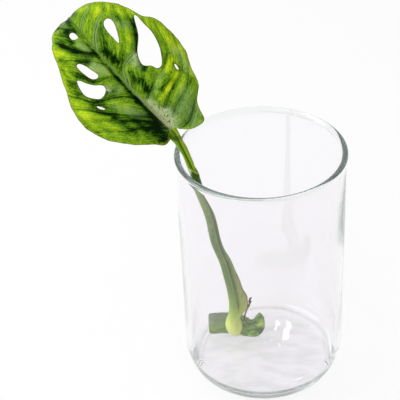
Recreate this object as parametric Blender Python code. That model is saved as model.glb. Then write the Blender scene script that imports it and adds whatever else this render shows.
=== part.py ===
"""Swiss cheese vine cutting leaning in a clear drinking glass.

The glass stands on the XY plane with its axis on Z, and the viewer stands at -Y. A short
length of vine stem lies on the glass's inner floor. Its one leaf stalk rises from the
stem's node, leans on the rim at the front left and carries one perforated blade.
Lengths in this file are millimetres, and the meshes are written in metres.
"""
import bmesh
import bpy
import numpy as np
from mathutils import Vector
from mathutils.geometry import delaunay_2d_cdt

MM = 0.001
GAP = 0.3                      # left between pieces that touch
TO_VIEWER = np.array([0.0, -1.0, 0.0])

# Glass
GLASS_HEIGHT = 115.0
RIM_RADIUS = 37.0
BEAD_RADIUS = 1.25             # half the rounded rim's thickness
WALL_RADIUS_TOP = 36.4
WALL_RADIUS_LOW = 36.1
WALL_THICKNESS = 2.3
FOOT_RADIUS = 27.8
HEEL_HEIGHT = 16.5
FLOOR_THICKNESS = 5.0
FLOOR_CORNER = 4.0             # radius inside, where floor meets wall
GLASS_SIDES = 64

# Stem section, lying along X on the inner floor
STEM_RADIUS = 5.0
STEM_LEFT = -25.9
STEM_RIGHT = -0.1
STEM_DENT = 2.9                # hollow on top, between the node and the hooked end
STEM_DENT_X = -5.3
STEM_HOOK = 1.0                # height of the hooked end over the stem's round
STEM_HOOK_X = -1.9
STEM_NODE_X = -9.6             # the ring where the stalk leaves the stem
STEM_SIDES = 28
STEM_RINGS = 26

# Leaf stalk: points that its centre line passes, from below the node to the blade
STALK_ROUTE = (
    (-14.0, 7.9, 6.4),
    (-13.9, 7.2, 15.0),
    (-13.5, 5.3, 22.8),
    (-13.3, 3.6, 31.0),
    (-14.3, 1.2, 41.0),
    (-16.8, -2.5, 56.5),
    (-20.2, -6.3, 71.0),
    (-22.2, -10.3, 88.0),
    (-25.1, -13.8, 101.8),
    (-27.65, -17.0, 114.8),
    (-30.8, -20.1, 126.5),
    (-34.6, -23.7, 139.5),
)
STALK_SIDES = 28
STALK_RINGS = 54
STALK_CHANNEL = 0.45           # depth of the channel down the front of the stalk
KNUCKLE_GROOVE = 0.5           # depth of the groove down the yellow knuckle below the blade

# Leaf blade
BLADE_LENGTH = 78.2            # from the stalk to the tip, along the midrib
BLADE_THICKNESS = 0.8
BLADE_OFFSET = 0.4             # from the stalk's end to the midrib's start
BLADE_AZIMUTH = 4.2            # degrees that the blade faces to the right of -Y
BLADE_ELEVATION = 32.0         # degrees that it faces upwards
MIDRIB_LEAN = 39.8             # degrees that the midrib leans to the left
BEND_START = 12.0              # the midrib's slope towards the viewer at the stalk, degrees
BEND_END = -120.0              # and at the curled-back tip
BEND_POWER = 3.2
MIDRIB_BOW = 0.9               # sideways bow of the midrib, to the left
MIDRIB_RIDGE = 1.1             # height of the midrib under the blade
RISE_LEFT = 4.4                # how far each half rises from the midrib's groove
RISE_RIGHT = 3.4
VEIN_SPACING = 7.2
VEIN_SWELL = 0.35              # height of the cushions between side veins
MESH_SPACING = 1.9
EDGE_SPACING = 1.6

# Small pieces at the node: points that their centre lines pass
SHEATH_ROUTE = (
    (-8.9, 8.5, 16.1),
    (-6.9, 7.8, 20.0),
    (-5.7, 7.5, 23.0),
    (-5.3, 6.9, 26.4),
    (-4.7, 6.2, 30.4),
)
BUD_ROUTE = ((-6.8, 9.4, 14.5), (-6.7, 9.3, 15.4), (-6.6, 9.1, 16.5), (-6.5, 8.9, 17.5))
BUD_RADIUS = 1.0


def clear_scene():
    for item in list(bpy.data.objects):
        bpy.data.objects.remove(item, do_unlink=True)


def plain_material(name, colour, roughness, alpha=1.0, transmission=0.0):
    material = bpy.data.materials.new(name)
    material.use_nodes = True
    shader = material.node_tree.nodes["Principled BSDF"]
    shader.inputs["Base Color"].default_value = (*colour, 1.0)
    shader.inputs["Roughness"].default_value = roughness
    shader.inputs["Metallic"].default_value = 0.0
    shader.inputs["Alpha"].default_value = alpha
    shader.inputs["Transmission Weight"].default_value = transmission
    material.diffuse_color = (*colour, alpha)
    return material


def add_piece(name, mesh, material, sharp_angle=40.0):
    """Put one mesh in the scene as an object, shaded smooth but for its sharp edges."""
    piece = bpy.data.objects.new(name, mesh)
    bpy.context.scene.collection.objects.link(piece)
    if material is not None:
        mesh.materials.append(material)
    mesh.shade_smooth()
    mesh.set_sharp_from_angle(angle=np.radians(sharp_angle))
    return piece


def mesh_of(name, points, faces):
    """Make a mesh from points in millimetres and its faces."""
    mesh = bpy.data.meshes.new(name)
    mesh.from_pydata((np.asarray(points) * MM).tolist(), [], faces)
    mesh.validate()
    return mesh


def cut_by(piece, cutter):
    """Cut one piece by another, which then only guides the cut."""
    cut = piece.modifiers.new("cut", "BOOLEAN")
    cut.operation = "DIFFERENCE"
    cut.solver = "EXACT"
    cut.object = cutter
    cutter.hide_render = True
    cutter.display_type = "WIRE"


def unit(vectors):
    return vectors / np.linalg.norm(vectors, axis=-1, keepdims=True)


def smooth_step(value, low, high):
    u = np.clip((value - low) / (high - low), 0.0, 1.0)
    return u * u * (3.0 - 2.0 * u)


def hump(value, centre, width):
    return np.exp(-((value - centre) / width) ** 2)


def curve_through(points, count, closed=False):
    """Read count evenly stepped points from a Catmull-Rom curve through a few points."""
    points = np.asarray(points, float)
    if closed:
        knots = np.vstack([points[-1:], points, points[:2]])
    else:
        knots = np.vstack([2 * points[0] - points[1], points, 2 * points[-1] - points[-2]])
    spans = len(knots) - 3
    place = np.linspace(0.0, spans, count, endpoint=not closed)
    span = np.minimum(place.astype(int), spans - 1)
    u = (place - span)[:, None]
    a, b, c, d = (knots[span + k] for k in range(4))
    return 0.5 * (2 * b + (c - a) * u + (2 * a - 5 * b + 4 * c - d) * u ** 2
                  + (3 * b - 3 * c + d - a) * u ** 3)


def ring_faces(rings, sides):
    """Quads between rings of points, with a fan of triangles to a pole at each end."""
    faces = []
    for ring in range(rings - 1):
        for side in range(sides):
            here = ring * sides + side
            beside = ring * sides + (side + 1) % sides
            faces.append((here, beside, beside + sides, here + sides))
    first_pole, last_pole = rings * sides, rings * sides + 1
    last_ring = (rings - 1) * sides
    for side in range(sides):
        beside = (side + 1) % sides
        faces.append((first_pole, beside, side))
        faces.append((last_pole, last_ring + side, last_ring + beside))
    return faces


def turned(name, profile, sides):
    """Spin a profile of (radius, height), both ends of it on the axis, once round Z."""
    shape = bmesh.new()
    points = [shape.verts.new((radius * MM, 0.0, height * MM)) for radius, height in profile]
    lines = [shape.edges.new(pair) for pair in zip(points[:-1], points[1:])]
    bmesh.ops.spin(shape, geom=points + lines, cent=(0.0, 0.0, 0.0), axis=(0.0, 0.0, 1.0),
                   angle=2.0 * np.pi, steps=sides, use_merge=True)
    bmesh.ops.remove_doubles(shape, verts=shape.verts, dist=0.01 * MM)
    bmesh.ops.recalc_face_normals(shape, faces=shape.faces)
    mesh = bpy.data.meshes.new(name)
    shape.to_mesh(mesh)
    shape.free()
    return mesh


def carried(route, section, sides):
    """Carry a section along a route. section(u, angle) gives reach to the side and front."""
    along = unit(np.gradient(route, axis=0))
    u = np.linspace(0.0, 1.0, len(route))[:, None]
    angle = np.linspace(0.0, 2.0 * np.pi, sides, endpoint=False)[None, :]
    to_side, to_front, side_axis, front_axis = section(u, angle, along)
    points = (route[:, None, :] + to_side[..., None] * side_axis[:, None, :]
              + to_front[..., None] * front_axis[:, None, :])
    poles = np.vstack([points[0].mean(axis=0), points[-1].mean(axis=0)])
    faces = ring_faces(len(route), sides)
    if np.dot(np.cross(side_axis[0], front_axis[0]), along[0]) < 0.0:
        faces = [face[::-1] for face in faces]
    return np.vstack([points.reshape(-1, 3), poles]), faces


def arc(centre, radii, start, end, steps):
    """Points along part of an ellipse, angles in degrees."""
    angle = np.radians(np.linspace(start, end, steps))
    return [(centre[0] + radii[0] * np.cos(a), centre[1] + radii[1] * np.sin(a)) for a in angle]


def glass_vase():
    """A straight tumbler: thick floor, rounded heel, thin wall and a rounded rim bead."""
    heel = WALL_RADIUS_LOW - FOOT_RADIUS
    bead_centre = RIM_RADIUS - BEAD_RADIUS
    bead_height = GLASS_HEIGHT - BEAD_RADIUS
    inner_low = WALL_RADIUS_LOW - WALL_THICKNESS
    inner_top = WALL_RADIUS_TOP - WALL_THICKNESS
    profile = [(0.0, 0.0)]
    profile += arc((FOOT_RADIUS, HEEL_HEIGHT), (heel, HEEL_HEIGHT), -90.0, 0.0, 8)
    profile += [(WALL_RADIUS_LOW, 40.0), (WALL_RADIUS_TOP, 70.0), (WALL_RADIUS_TOP, 108.0)]
    profile += arc((bead_centre, bead_height), (BEAD_RADIUS, BEAD_RADIUS), -15.0, 195.0, 9)
    profile += [(inner_top, 108.0), (inner_top, 70.0), (inner_low, 40.0)]
    corner_centre = (inner_low - FLOOR_CORNER, FLOOR_THICKNESS + FLOOR_CORNER)
    profile += arc(corner_centre, (FLOOR_CORNER, FLOOR_CORNER), 0.0, -90.0, 6)
    profile += [(0.0, FLOOR_THICKNESS)]
    glass = plain_material("clear glass", (0.86, 0.88, 0.88), 0.05, 0.35, 0.9)
    return add_piece("glass_vase", turned("glass_vase", profile, GLASS_SIDES), glass, 30.0)


def stem_solid(grow):
    """The stem's points and faces, its skin moved out by grow."""
    rest = FLOOR_THICKNESS + GAP + STEM_RADIUS
    bends = ((STEM_LEFT, 11.0), (-18.0, 12.6), (-12.0, 11.4), (-6.0, 9.9), (STEM_RIGHT, 9.9))
    flat = curve_through(bends, STEM_RINGS)
    route = np.column_stack([flat, np.full(STEM_RINGS, rest)])

    def section(u, angle, along):
        x = route[:, :1]
        rounding = 1.0 - 0.10 * (1.0 - smooth_step(u, 0.0, 0.06)) - 0.16 * smooth_step(u, 0.95, 1.0)
        node_ring = 0.12 * hump(x, STEM_NODE_X, 0.9)
        top_back = np.cos(angle - np.radians(70.0))
        dent = STEM_DENT * hump(x, STEM_DENT_X, 2.8) * np.clip(top_back, 0.0, 1.0) ** 2
        hook = STEM_HOOK * hump(x, STEM_HOOK_X, 1.5) * np.clip(top_back, 0.0, 1.0) ** 4
        radius = STEM_RADIUS * rounding + node_ring - dent + hook + grow
        side_axis = np.zeros_like(route)
        side_axis[:, 1] = 1.0
        front_axis = np.zeros_like(route)
        front_axis[:, 2] = 1.0
        return radius * np.cos(angle), radius * np.sin(angle), side_axis, front_axis

    points, faces = carried(route, section, STEM_SIDES)
    cut_end = smooth_step(points[:, 0], STEM_RIGHT - 3.0, STEM_RIGHT)
    points[:, 0] += cut_end * (0.20 * (points[:, 1] - 9.9) - 0.12 * (points[:, 2] - rest))
    points[:, 2] = np.maximum(points[:, 2], FLOOR_THICKNESS + GAP - grow)
    return points, faces


def stem_section():
    points, faces = stem_solid(0.0)
    skin = plain_material("stem skin", (0.10, 0.17, 0.06), 0.5)
    return add_piece("stem_section", mesh_of("stem_section", points, faces), skin)


def stalk_section(u, angle, along):
    """Half widths of the stalk, with its channel and the sheath wing at its right.

    The section is an ellipse. Its reach shrinks by a hump at the channel and grows by a
    hump at the wing, and each of them comes and goes with the height up the stalk.
    """
    height = np.array([0.0, 0.012, 0.03, 0.06, 0.09, 0.12, 0.16, 0.25, 0.37, 0.48, 0.6, 0.72,
                       0.795, 0.82, 0.87, 0.93, 1.0])
    half = np.array([1.2, 2.5, 3.3, 3.85, 3.75, 3.2, 2.55, 2.15, 1.9, 1.85, 1.85, 1.6,
                     1.65, 1.7, 1.6, 1.85, 2.05])
    wing_height = np.array([0.0, 0.10, 0.13, 0.16, 0.20, 0.26, 0.34, 0.42, 0.50, 0.60, 0.70, 0.8])
    wing_reach = np.array([0.0, 0.0, 1.8, 4.1, 5.2, 3.8, 2.8, 2.2, 0.7, 0.6, 0.0, 0.0])
    radius = np.interp(u, height, half)
    reach = np.interp(u, wing_height, wing_reach)
    turn = np.degrees(angle)
    off_wing = (turn + 15.0 + 180.0) % 360.0 - 180.0
    off_channel = (turn - 30.0 + 180.0) % 360.0 - 180.0
    off_groove = (turn - 98.0 + 180.0) % 360.0 - 180.0
    wing = reach * np.exp(-(off_wing / 17.0) ** 2)
    channel = STALK_CHANNEL * smooth_step(u, 0.10, 0.18) * (1.0 - smooth_step(u, 0.72, 0.80))
    groove = KNUCKLE_GROOVE * smooth_step(u, 0.81, 0.86)
    radius = radius + wing - channel * np.exp(-(off_channel / 20.0) ** 2)
    radius = radius - groove * np.exp(-(off_groove / 24.0) ** 2)
    side_axis = unit(np.cross(along, TO_VIEWER))
    front_axis = unit(np.cross(side_axis, along))
    return radius * np.cos(angle), radius * np.sin(angle), side_axis, front_axis


def leaf_stalk():
    """The stalk clasps the front of the stem: its foot is cut to the stem's own curve."""
    route = curve_through(STALK_ROUTE, STALK_RINGS)
    points, faces = carried(route, stalk_section, STALK_SIDES)
    skin = plain_material("stalk skin", (0.20, 0.31, 0.07), 0.45)
    stalk = add_piece("leaf_stalk", mesh_of("leaf_stalk", points, faces), skin)
    guide_points, guide_faces = stem_solid(GAP)
    guide = add_piece("stem_clearance", mesh_of("stem_clearance", guide_points, guide_faces), None)
    cut_by(stalk, guide)
    return route


def midrib_bend(s):
    """Where the midrib is at length s, and its slope, from a slope that falls as a power."""
    share = np.linspace(0.0, 1.0, 401)
    slope = np.radians(BEND_START + (BEND_END - BEND_START) * share ** BEND_POWER)
    middle = (slope[1:] + slope[:-1]) / 2.0
    step = BLADE_LENGTH / 400.0
    ahead = np.concatenate([[0.0], np.cumsum(np.cos(middle))]) * step
    raised = np.concatenate([[0.0], np.cumsum(np.sin(middle))]) * step
    u = np.clip(s / BLADE_LENGTH, 0.0, 1.0)
    before = np.minimum(s, 0.0)
    return (np.interp(u, share, ahead) + before * np.cos(slope[0]),
            np.interp(u, share, raised) + before * np.sin(slope[0]),
            np.interp(u, share, slope))


def blade_height(s, t):
    """Height of the blade over its midrib: both halves rise from the groove and fall off.

    Cushions between the side veins are a cosine of the vein's phase, which leans towards
    the tip away from the midrib.
    """
    away = np.sqrt(t * t + 1.0) - 1.0
    left = smooth_step(-t, -0.5, 0.5)
    near_stalk = hump(s, 3.0, 20.0)
    flat_tip = 1.0 - 0.85 * smooth_step(s, 50.0, 70.0)
    rise = (left * (RISE_LEFT + 3.2 * near_stalk) + (1.0 - left) * RISE_RIGHT) * flat_tip
    fall = left * 1.75 + (1.0 - left) * 1.45
    gull = rise * (1.0 - np.exp(-away / 5.5) - fall * (away / 26.0) ** 2)
    lean = 0.15 + 0.85 * smooth_step(s, -5.0, 35.0)
    phase = (s - lean * away - 0.008 * away ** 2) / VEIN_SPACING
    swell = VEIN_SWELL * np.cos(2.0 * np.pi * phase) * smooth_step(away, 1.0, 5.0)
    return gull + swell


def blade_surface(s, t):
    """Middle surface of the blade: midrib bend, plus height along the bend's own normal."""
    ahead, raised, slope = midrib_bend(s)
    height = blade_height(s, t)
    bow = MIDRIB_BOW * np.sin(np.pi * np.clip(s / 60.0, 0.0, 1.0))
    return np.stack([
        ahead - height * np.sin(slope),
        t - bow,
        raised + height * np.cos(slope),
    ], axis=-1)


def blade_frame():
    """Directions of the midrib, of the right half and of the blade's face."""
    azimuth, elevation, lean = np.radians([BLADE_AZIMUTH, BLADE_ELEVATION, MIDRIB_LEAN])
    face = np.array([
        np.sin(azimuth) * np.cos(elevation),
        -np.cos(azimuth) * np.cos(elevation),
        np.sin(elevation),
    ])
    level = unit(np.cross([0.0, 0.0, 1.0], face))
    steep = np.cross(face, level)
    midrib = np.cos(lean) * steep - np.sin(lean) * level
    return np.stack([midrib, np.cross(midrib, face), face])


# Points that the blade's margin passes: length along the midrib, distance to its right
BLADE_RIGHT = ((1.0, 0.0), (0.4, 1.8), (-0.8, 2.7), (-2.6, 4.6), (-4.3, 8.2), (-4.7, 11.2),
               (-3.6, 12.8), (-0.2, 13.5), (3.2, 15.5), (5.2, 18.0), (8.6, 21.0), (15.9, 23.8),
               (21.0, 26.3), (28.5, 27.1), (36.0, 26.6), (39.8, 25.1), (42.8, 22.7), (45.0, 21.8),
               (49.2, 20.3), (53.5, 18.2), (58.5, 14.2), (64.5, 9.2), (70.0, 4.6), (75.0, 1.5),
               (78.2, 0.0))
BLADE_LEFT = ((75.0, -1.7), (69.5, -5.7), (62.0, -10.9), (55.0, -13.9), (48.6, -16.3),
              (41.0, -19.7), (36.8, -21.7), (30.8, -23.5), (24.0, -23.6), (17.4, -21.6),
              (10.4, -16.9), (2.8, -9.2), (-0.3, -6.1), (-0.3, -3.8), (0.4, -1.9))
BLADE_HOLES = {
    "left_tip": ((56.7, -4.3), (57.6, -2.9), (56.6, -2.1), (54.0, -2.0), (53.5, -3.3),
                 (54.4, -4.5)),
    "left_long": ((45.3, -9.7), (45.1, -8.4), (43.0, -7.2), (40.5, -6.5), (37.3, -5.8),
                  (36.6, -7.1), (37.9, -8.8), (40.6, -9.6), (43.5, -10.0)),
    "left_wide": ((40.9, -13.7), (40.2, -12.6), (37.9, -11.4), (35.5, -9.7), (33.3, -7.3),
                  (31.4, -7.4), (30.1, -9.5), (30.4, -12.0), (34.2, -14.9), (37.6, -14.9)),
    "left_slit": ((28.9, -14.6), (27.5, -13.4), (25.9, -12.8), (26.4, -13.8), (27.7, -14.6)),
    "right_tip": ((50.3, 9.3), (50.8, 11.4), (48.8, 12.6), (45.3, 11.6), (40.7, 8.8),
                  (44.0, 8.4), (47.6, 8.4)),
    "right_large": ((44.3, 20.0), (44.1, 21.1), (40.0, 21.2), (35.6, 21.4), (31.1, 20.4),
                    (27.3, 18.6), (23.5, 15.5), (23.7, 13.2), (26.1, 12.1), (28.7, 9.9),
                    (33.2, 11.6), (38.1, 16.6)),
    "right_slit": ((20.3, 19.2), (19.3, 19.6), (17.3, 19.1), (18.4, 18.5)),
}


def even_steps(outline, spacing):
    """Space a closed outline's points evenly along it."""
    closed = np.vstack([outline, outline[:1]])
    length = np.concatenate([[0.0], np.cumsum(np.linalg.norm(np.diff(closed, axis=0), axis=1))])
    count = int(round(length[-1] / spacing))
    place = np.linspace(0.0, length[-1], count, endpoint=False)
    return np.column_stack([np.interp(place, length, closed[:, k]) for k in range(2)])


def inside(points, outline):
    """Even-odd test of many points against one closed outline."""
    x, y = points[:, :1], points[:, 1:]
    x1, y1 = outline[:, 0], outline[:, 1]
    x2, y2 = np.roll(x1, -1), np.roll(y1, -1)
    spans = (y1 > y) != (y2 > y)
    rise = np.where(y2 == y1, 1.0, y2 - y1)
    crosses = spans & (x < (x2 - x1) * (y - y1) / rise + x1)
    return crosses.sum(axis=1) % 2 == 1


def edge_distance(points, outline):
    """Distance of many points from one closed outline."""
    start = outline[None, :, :]
    run = np.roll(outline, -1, axis=0)[None, :, :] - start
    offset = points[:, None, :] - start
    share = np.clip((offset * run).sum(-1) / (run ** 2).sum(-1), 0.0, 1.0)
    return np.linalg.norm(offset - share[..., None] * run, axis=-1).min(axis=1)


def blade_layout():
    """Flat layout of the blade: its points, its triangles and its closed edges."""
    margin = curve_through(BLADE_RIGHT + BLADE_LEFT, 600, closed=True)
    edges = [even_steps(margin, EDGE_SPACING)]
    for hole in BLADE_HOLES.values():
        rim = curve_through(hole, 200, closed=True)
        edges.append(even_steps(rim, min(EDGE_SPACING, np.ptp(rim, axis=0).max() / 5.0)))
    rib_rows = [(s, t) for t in (-1.3, 0.0, 1.3) for s in np.arange(2.0, BLADE_LENGTH, MESH_SPACING)]
    row_step = MESH_SPACING * np.sqrt(3.0) / 2.0
    rows = np.arange(-30.0, 30.0, row_step)
    field = [(s + (MESH_SPACING / 2.0) * (k % 2), t) for k, t in enumerate(rows) if abs(t) > 2.2
             for s in np.arange(-8.0, BLADE_LENGTH, MESH_SPACING)]
    spots = np.array(rib_rows + field)
    keep = inside(spots, edges[0]) & (edge_distance(spots, edges[0]) > 0.45 * MESH_SPACING)
    for edge in edges[1:]:
        keep &= ~inside(spots, edge) & (edge_distance(spots, edge) > 0.45 * MESH_SPACING)
    flat = np.vstack(edges + [spots[keep]])
    limits = []
    first = 0
    for edge in edges:
        ids = np.arange(first, first + len(edge))
        limits += np.column_stack([ids, np.roll(ids, -1)]).tolist()
        first += len(edge)
    result = delaunay_2d_cdt([Vector(p) for p in flat.tolist()], limits, [], 0, 1e-6)
    flat = np.array([tuple(p) for p in result[0]])
    triangles = np.array([tuple(face) for face in result[2]])
    centre = flat[triangles].mean(axis=1)
    solid = inside(centre, edges[0])
    for edge in edges[1:]:
        solid &= ~inside(centre, edge)
    return flat, triangles[solid]


def leaf_blade(stalk_end):
    """Two skins with the same triangles, closed along the margin and round each hole.

    The midrib is a rounded ridge under the blade, which fades towards the tip.
    """
    flat, triangles = blade_layout()
    s, t = flat[:, 0], flat[:, 1]
    middle = blade_surface(s, t)
    small = 0.02
    along = blade_surface(s + small, t) - blade_surface(s - small, t)
    across = blade_surface(s, t + small) - blade_surface(s, t - small)
    normal = unit(np.cross(along, across))
    half = BLADE_THICKNESS / 2.0
    ridge = MIDRIB_RIDGE * (1.0 - 0.8 * smooth_step(s, 0.0, 60.0)) * hump(t, 0.0, 1.2)
    frame = blade_frame()
    top = stalk_end + (middle + normal * half) @ frame
    under = stalk_end + (middle - normal * (half + ridge)[:, None]) @ frame
    count = len(flat)
    corner = flat[triangles]
    turn = np.cross(corner[:, 1] - corner[:, 0], corner[:, 2] - corner[:, 0])
    triangles = np.where(turn[:, None] > 0.0, triangles[:, ::-1], triangles)
    sides = []
    for a, b, c in triangles.tolist():
        sides += [(a, b), (b, c), (c, a)]
    faces = triangles.tolist() + (triangles[:, ::-1] + count).tolist()
    known = set(sides)
    for a, b in sides:
        if (b, a) not in known:
            faces.append((b, a, a + count))
            faces.append((b, a + count, b + count))
    skin = plain_material("leaf skin", (0.09, 0.20, 0.03), 0.4)
    mesh = mesh_of("leaf_blade", np.vstack([top, under]), faces)
    return add_piece("leaf_blade", mesh, skin)


def dry_sheath():
    """A curled strip of the dead sheath, standing beside the stalk's wing."""
    route = curve_through(SHEATH_ROUTE, 14)

    def section(u, angle, along):
        depth = 1.4 - 0.9 * u
        thickness = 0.42 + 0.3 * u - 0.5 * u ** 3
        side_axis = unit(np.cross(along, TO_VIEWER))
        front_axis = unit(np.cross(side_axis, along))
        return thickness * np.cos(angle), depth * np.sin(angle), side_axis, front_axis

    points, faces = carried(route, section, 10)
    skin = plain_material("dry sheath", (0.16, 0.07, 0.03), 0.85)
    return add_piece("dry_sheath", mesh_of("dry_sheath", points, faces), skin)


def axillary_bud():
    """A small pointed bud in the angle between the stalk and the stem."""
    route = curve_through(BUD_ROUTE, 8)

    def section(u, angle, along):
        radius = BUD_RADIUS * np.sqrt(np.clip(1.0 - u ** 2, 0.03, 1.0))
        side_axis = unit(np.cross(along, TO_VIEWER))
        front_axis = unit(np.cross(side_axis, along))
        return radius * np.cos(angle), radius * np.sin(angle), side_axis, front_axis

    points, faces = carried(route, section, 12)
    skin = plain_material("bud skin", (0.24, 0.27, 0.11), 0.55)
    return add_piece("axillary_bud", mesh_of("axillary_bud", points, faces), skin)


clear_scene()
glass_vase()
stem_section()
stalk_route = leaf_stalk()
leaf_blade(stalk_route[-1] + BLADE_OFFSET * unit(stalk_route[-1] - stalk_route[-2]))
dry_sheath()
axillary_bud()
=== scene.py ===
import bpy
import numpy as np
from mathutils import Matrix, Vector
from mathutils.geometry import delaunay_2d_cdt


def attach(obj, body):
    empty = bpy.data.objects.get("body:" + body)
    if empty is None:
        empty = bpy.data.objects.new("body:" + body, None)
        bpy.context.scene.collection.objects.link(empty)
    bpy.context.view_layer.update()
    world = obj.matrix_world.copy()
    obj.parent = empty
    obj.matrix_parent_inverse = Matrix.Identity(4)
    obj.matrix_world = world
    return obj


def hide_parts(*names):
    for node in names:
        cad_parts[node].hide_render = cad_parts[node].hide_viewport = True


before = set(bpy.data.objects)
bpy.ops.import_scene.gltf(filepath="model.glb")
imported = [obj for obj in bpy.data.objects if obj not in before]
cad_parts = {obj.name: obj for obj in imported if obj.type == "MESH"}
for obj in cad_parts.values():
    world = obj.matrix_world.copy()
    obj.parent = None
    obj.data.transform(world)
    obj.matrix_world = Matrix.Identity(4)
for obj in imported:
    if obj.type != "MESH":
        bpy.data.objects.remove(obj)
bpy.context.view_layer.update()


# The vase is one plain straight drinking glass, clear and faintly green where it is thick.
# Its rim was rounded in a flame. Its floor is thick, with a soft round heel outside and a
# shallow hollow below, and it stands on a ring of fine moulded ribs.
MM = 0.001
GLASS_HEIGHT = 115.0
RIM_RADIUS = 37.0
BEAD_RADIUS = 1.35
BEAD_PROUD = 0.4
BEAD_PROUD_SIDE = 35.0
WALL_RADIUS_TOP = 36.4
WALL_RADIUS_LOW = 36.1
WALL_THICKNESS = 2.3
HEEL_HEIGHT = 16.5
FLOOR_THICKNESS = 5.0
FLOOR_CORNER = 5.5
FLOOR_RING = 30.6
FOOT_RADIUS = 27.8
FOOT_HOLLOW = 1.4
FOOT_RIBS = 128
RIB_RADIUS = 29.4
CLEAR_GLASS = (0.985, 0.97, 0.99)
RIM_GREEN = (0.95, 0.96, 0.96)
FOOT_SHADE_CLOUD = (0.79, 0.79, 0.8)
FLOOR_RING_SHADE = (0.35, 0.37, 0.38)
GLASS_TINT = (0, 0.16, 0.1)
GLASS_DEPTH = 6.5


def step(value, low, high):
    """Rise from 0 at low to 1 at high: u * u * (3 - 2u) of the share u between them."""
    u = np.clip((value - low) / (high - low), 0, 1)
    return u * u * (3 - 2 * u)


def hump(value, centre, width):
    """A bell: e to the minus square of the distance from centre in widths."""
    return np.exp(-((value - centre) / width) ** 2)


def curve_through(points, count, closed=False):
    """Evenly stepped points of a Catmull-Rom curve: a cubic from point to point that leaves
    each parallel to the line between its neighbours."""
    points = np.asarray(points, float)
    if closed:
        knots = np.vstack([points[-1:], points, points[:2]])
    else:
        knots = np.vstack([2 * points[0] - points[1], points, 2 * points[-1] - points[-2]])
    spans = len(knots) - 3
    place = np.linspace(0, spans, count, endpoint=not closed)
    span = np.minimum(place.astype(int), spans - 1)
    u = (place - span)[:, None]
    a, b, c, d = (knots[span + k] for k in range(4))
    return 0.5 * (2 * b + (c - a) * u + (2 * a - 5 * b + 4 * c - d) * u ** 2
                  + (3 * b - 3 * c + d - a) * u ** 3)


def arc(centre, radii, start, end, steps):
    """Part of an ellipse: centre plus radii times the cosine and sine of the angle."""
    angle = np.radians(np.linspace(start, end, steps))
    return centre + np.column_stack([np.cos(angle), np.sin(angle)]) * radii


def once_round(columns):
    """Evenly stepped angles once round."""
    return np.linspace(0, 2 * np.pi, columns, endpoint=False)


def new_piece(name, places, faces):
    """A smooth piece made of places in millimetres and the faces between them."""
    mesh = bpy.data.meshes.new(name)
    mesh.from_pydata((places * MM).tolist(), [], faces)
    mesh.shade_smooth()
    piece = bpy.data.objects.new(name, mesh)
    bpy.context.scene.collection.objects.link(piece)
    return piece


def keep(piece, name, values):
    """Store one number for each point of a piece, for its finish to read."""
    layer = piece.data.attributes.new(name, "FLOAT", "POINT")
    layer.data.foreach_set("value", np.ascontiguousarray(values, np.float32))


def lattice(name, points, layers):
    """Skin a grid of points in millimetres, closed round each row, with a pole at each end.

    Point (i, j) is joined to (i, j + 1) and (i + 1, j), and each end row to its mean. If the
    volume, a sum of triple products, is negative, every face is turned over, so that it points
    outwards. The layers are kept on the points, and a pole takes the mean of its row.
    """
    rows, columns = points.shape[:2]
    index = np.arange(rows * columns).reshape(rows, columns)
    here, beside = index[:-1], np.roll(index[:-1], -1, axis=1)
    above, across = index[1:], np.roll(index[1:], -1, axis=1)
    quads = np.stack([here, beside, across, above], axis=-1).reshape(-1, 4)
    triangles = np.vstack([
        np.stack([np.full(columns, pole), np.roll(row, -1), row], axis=-1)[:, ::way]
        for row, pole, way in ((index[0], rows * columns, 1), (index[-1], rows * columns + 1, -1))])
    places = np.vstack([points.reshape(-1, 3), points[[0, -1]].mean(axis=1)])
    a, b, c, d = (places[quads[:, k]] for k in range(4))
    volume = (np.cross(a, b) * c).sum() + (np.cross(a, c) * d).sum()
    turned = 1 if volume >= 0 else -1
    piece = new_piece(name, places, quads[:, ::turned].tolist() + triangles[:, ::turned].tolist())
    for layer, values in layers.items():
        grid = np.broadcast_to(np.asarray(values, np.float32), (rows, columns))
        keep(piece, layer, np.concatenate([grid.ravel(), grid[[0, -1]].mean(axis=1)]))
    return piece


class Signal:
    """A value that changes over a surface. Each sign used on it adds a Math node."""

    def __init__(self, finish, socket):
        self.finish = finish
        self.socket = socket

    def join(self, operation, *values):
        return self.finish.node("ShaderNodeMath", {"operation": operation}, dict(enumerate(values)))

    def __add__(self, other):
        return self.join("ADD", self, other)

    def __sub__(self, other):
        return self.join("SUBTRACT", self, other)

    def __rsub__(self, other):
        return self.join("SUBTRACT", other, self)

    def __mul__(self, other):
        return self.join("MULTIPLY", self, other)

    __radd__ = __add__
    __rmul__ = __mul__

    def __abs__(self):
        return self.join("ABSOLUTE", self)

    def between(self, low, high):
        """The same value, held between two numbers."""
        return self.finish.node("ShaderNodeClamp", {}, {"Value": self, "Min": low, "Max": high})

    def step(self, low, high):
        """Rise smoothly from 0 at low to 1 at high."""
        return self.finish.node("ShaderNodeMapRange", {"interpolation_type": "SMOOTHSTEP"},
                                {"Value": self, "From Min": low, "From Max": high})

    def fall(self, low, high):
        """Fall smoothly from 1 at low to 0 at high."""
        return 1 - self.step(low, high)


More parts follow.
